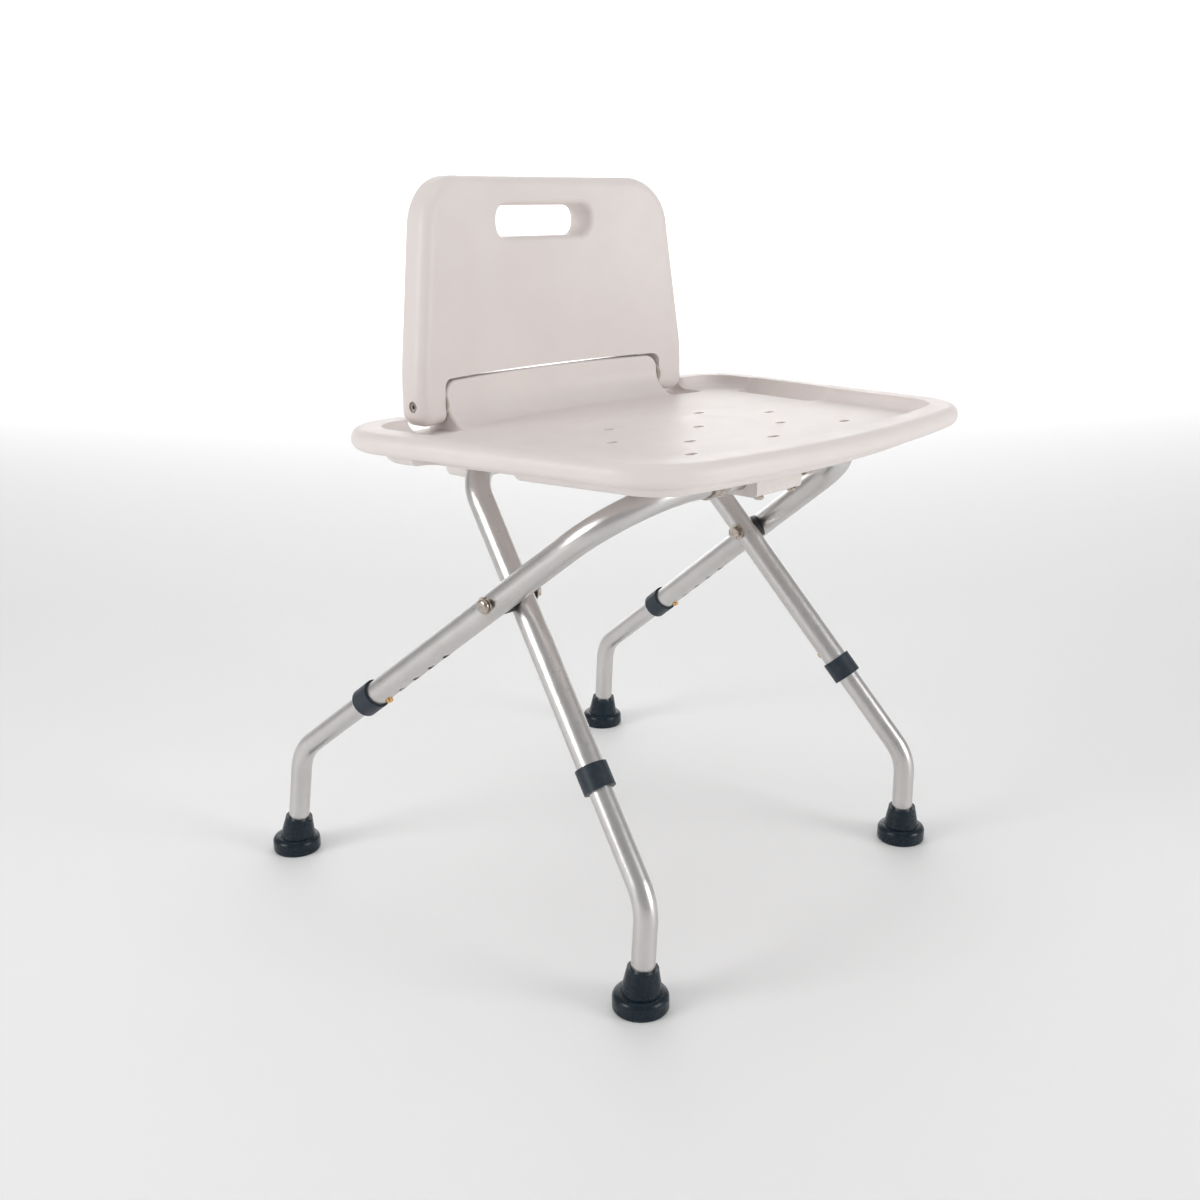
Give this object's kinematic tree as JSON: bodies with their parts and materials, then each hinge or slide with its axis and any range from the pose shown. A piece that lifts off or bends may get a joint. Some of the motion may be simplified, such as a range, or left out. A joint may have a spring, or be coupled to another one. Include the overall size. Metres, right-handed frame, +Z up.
{
  "type": "shower stool",
  "caption": "Folding shower stool: dished plastic seat with side hand slots and drain holes, low folding backrest with grip hole, and crossed tube frames with adjustable rubber-footed legs.",
  "frame": {"origin": "on the floor under the centre of the stool's bounding box", "axes": "+Z up, the sitter faces -Y, +X to the right of someone looking at the stool from the front"},
  "size_m": [0.4842, 0.4982, 0.613],
  "materials": {
    "panel_plastic": "satin, finely textured blow-moulded plastic",
    "tube_aluminium": "satin anodised",
    "collar_plastic": "matte moulded",
    "spacer_plastic": "matte moulded",
    "block_plastic": "satin moulded",
    "washer_plastic": "satin nylon",
    "foot_rubber": "matte moulded rubber",
    "disc_steel": "zinc plated",
    "fastener_steel": "nickel plated",
    "button_brass": "turned",
    "spring_steel": "plain strip"
  },
  "bodies": {
    "outer_frame": {"outer_frame_tube": "tube_aluminium", "outer_collars": "collar_plastic", "pivot_bolts": "fastener_steel", "pivot_nuts": "fastener_steel", "pivot_washers": "fastener_steel", "outer_spacers": "spacer_plastic"},
    "inner_frame": {"inner_frame_tube": "tube_aluminium", "inner_collars": "collar_plastic", "inner_spacers": "spacer_plastic"},
    "seat": {"seat_panel": "panel_plastic", "front_hinge_block": "block_plastic", "front_straps": "fastener_steel", "rear_stop_block_left": "block_plastic", "rear_stop_block_right": "block_plastic", "seat_screws": "fastener_steel", "backrest_pins": "fastener_steel", "backrest_washers": "washer_plastic"},
    "backrest": {"backrest_panel": "panel_plastic"},
    "leg_rear_left": {"leg_extension_rear_left": "tube_aluminium", "foot_rear_left": "foot_rubber", "foot_disc_rear_left": "disc_steel", "button_spring_rear_left": "spring_steel"},
    "button_rear_left": {"snap_button_rear_left": "button_brass"},
    "leg_rear_right": {"leg_extension_rear_right": "tube_aluminium", "foot_rear_right": "foot_rubber", "foot_disc_rear_right": "disc_steel", "button_spring_rear_right": "spring_steel"},
    "button_rear_right": {"snap_button_rear_right": "button_brass"},
    "leg_front_left": {"leg_extension_front_left": "tube_aluminium", "foot_front_left": "foot_rubber", "foot_disc_front_left": "disc_steel", "button_spring_front_left": "spring_steel"},
    "button_front_left": {"snap_button_front_left": "button_brass"},
    "leg_front_right": {"leg_extension_front_right": "tube_aluminium", "foot_front_right": "foot_rubber", "foot_disc_front_right": "disc_steel", "button_spring_front_right": "spring_steel"},
    "button_front_right": {"snap_button_front_right": "button_brass"}
  },
  "joints": [
    {"name": "frame_fold", "type": "hinge", "parent": "outer_frame", "child": "inner_frame", "pos_m": [0, -0.0254, 0.287], "axis": [1, 0, 0], "range_deg": [0, 60]},
    {"name": "seat_tip", "type": "hinge", "parent": "outer_frame", "child": "seat", "pos_m": [0, -0.15041, 0.383], "axis": [1, 0, 0], "range_deg": [0, 75]},
    {"name": "back_fold", "type": "hinge", "parent": "seat", "child": "backrest", "pos_m": [0, 0.0786, 0.431], "axis": [1, 0, 0], "range_deg": [0, 90]},
    {"name": "leg_slide_rear_left", "type": "slide", "parent": "outer_frame", "child": "leg_rear_left", "axis": [0.11, -0.7883, 0.6054], "range_m": [0, 0.0872], "deforming": ["snap_button_rear_left"]},
    {"name": "button_press_rear_left", "type": "slide", "parent": "leg_rear_left", "child": "button_rear_left", "axis": [0, 0.6091, 0.7931], "range_m": [0, 0.0043], "stiffness_N_per_m": 1200, "springref_m": -0.0025},
    {"name": "leg_slide_rear_right", "type": "slide", "parent": "outer_frame", "child": "leg_rear_right", "axis": [-0.11, -0.7883, 0.6054], "range_m": [0, 0.0872], "deforming": ["snap_button_rear_right"]},
    {"name": "button_press_rear_right", "type": "slide", "parent": "leg_rear_right", "child": "button_rear_right", "axis": [0, 0.6091, 0.7931], "range_m": [0, 0.0043], "stiffness_N_per_m": 1200, "springref_m": -0.0025},
    {"name": "leg_slide_front_left", "type": "slide", "parent": "inner_frame", "child": "leg_front_left", "axis": [0.1371, 0.6339, 0.7612], "range_m": [0, 0.0654], "deforming": ["snap_button_front_left"]},
    {"name": "button_press_front_left", "type": "slide", "parent": "leg_front_left", "child": "button_front_left", "axis": [0, -0.7684, 0.64], "range_m": [0, 0.0043], "stiffness_N_per_m": 1200, "springref_m": -0.0025},
    {"name": "leg_slide_front_right", "type": "slide", "parent": "inner_frame", "child": "leg_front_right", "axis": [-0.1371, 0.6339, 0.7612], "range_m": [0, 0.0654], "deforming": ["snap_button_front_right"]},
    {"name": "button_press_front_right", "type": "slide", "parent": "leg_front_right", "child": "button_front_right", "axis": [0, -0.7684, 0.64], "range_m": [0, 0.0043], "stiffness_N_per_m": 1200, "springref_m": -0.0025}
  ],
  "couplings": [
    {"joint": "seat_tip", "follows": "frame_fold", "ratio": 1.25}
  ]
}
